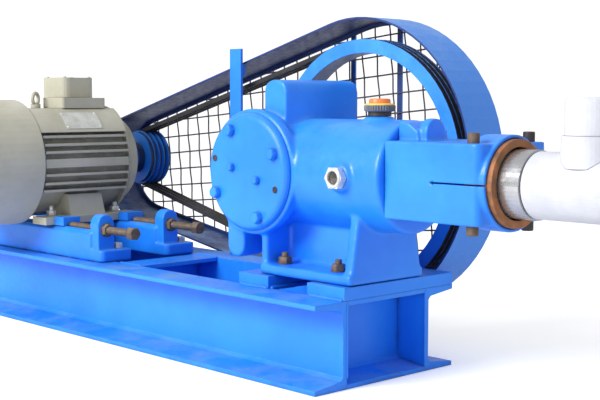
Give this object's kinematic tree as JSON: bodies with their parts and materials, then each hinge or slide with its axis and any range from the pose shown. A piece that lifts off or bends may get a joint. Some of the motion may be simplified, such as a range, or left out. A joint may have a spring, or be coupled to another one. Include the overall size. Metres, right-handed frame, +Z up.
{
  "type": "liquid carbon dioxide pump",
  "caption": "Reciprocating cryogenic liquid pump on a welded channel base, with an electric motor on slide rails driving a guarded flywheel through V-belts",
  "frame": {"origin": "on the floor plane under the middle of the channel base, on the underside of the middle cross channel", "axes": "+X runs along the base from the motor to the cold end, +Y runs across the base towards the flywheel, and +Z is up"},
  "size_m": [1.7953, 0.5852, 0.647],
  "materials": {
    "blue_channel": "satin blue paint, chipped and dusty",
    "blue_casting": "satin blue paint over cast iron",
    "blue_guard": "blue paint, darker inside",
    "grey_motor": "grey-green enamel",
    "rusty_bolt": "rusted steel",
    "bronze_ring": "tarnished bronze with rust stains",
    "bright_steel": "turned steel",
    "mesh_wire": "dull painted wire",
    "rubber_belt": "worn black rubber",
    "white_insulation": "matte white coating",
    "filler_plastic": "orange cap, yellow band, grey skirt"
  },
  "bodies": {
    "pump_frame": {"near_channel": "blue_channel", "far_channel": "blue_channel", "pump_end_channel": "blue_channel", "middle_channel": "blue_channel", "motor_end_channel": "blue_channel", "inner_pump_pad": "blue_channel", "outer_pump_pad": "blue_channel", "near_slide_rail": "blue_casting", "far_slide_rail": "blue_casting", "near_push_block": "blue_casting", "far_push_block": "blue_casting", "crankcase": "blue_casting", "crankcase_cover": "blue_casting", "bearing_cover": "blue_casting", "clamp_block": "blue_casting", "guard_band": "blue_guard", "guard_stay": "blue_guard", "guard_back_bar_1": "blue_guard", "guard_back_bar_2": "blue_guard", "motor_frame": "grey_motor", "motor_fan_cowl": "grey_motor", "motor_end_shield": "grey_motor", "terminal_box": "grey_motor", "terminal_box_base": "grey_motor", "eye_bolt": "grey_motor", "near_tension_bolt": "rusty_bolt", "far_tension_bolt": "rusty_bolt", "clamp_ring": "bronze_ring", "steel_spigot": "bright_steel", "sight_glass": "bright_steel", "guard_mesh": "mesh_wire", "belt_1": "rubber_belt", "belt_2": "rubber_belt", "belt_3": "rubber_belt", "cold_cylinder": "white_insulation", "cold_head": "white_insulation", "valve_collar": "white_insulation", "valve_cap": "white_insulation", "oil_filler_cap": "filler_plastic"},
    "flywheel_and_crankshaft": {"flywheel": "blue_casting", "flywheel_arms": "blue_casting", "crankshaft": "bright_steel"},
    "motor_rotor": {"motor_pulley": "blue_casting", "motor_shaft": "bright_steel"}
  },
  "joints": [
    {"name": "flywheel_spin", "type": "hinge", "parent": "pump_frame", "child": "flywheel_and_crankshaft", "pos_m": [0.372, 0.215, 0.356], "axis": [0, 1, 0], "continuous": true},
    {"name": "motor_spin", "type": "hinge", "parent": "pump_frame", "child": "motor_rotor", "pos_m": [-0.37, 0.215, 0.3473], "axis": [0, 1, 0], "continuous": true}
  ],
  "couplings": [
    {"joint": "motor_spin", "follows": "flywheel_spin", "ratio": 4.075}
  ]
}
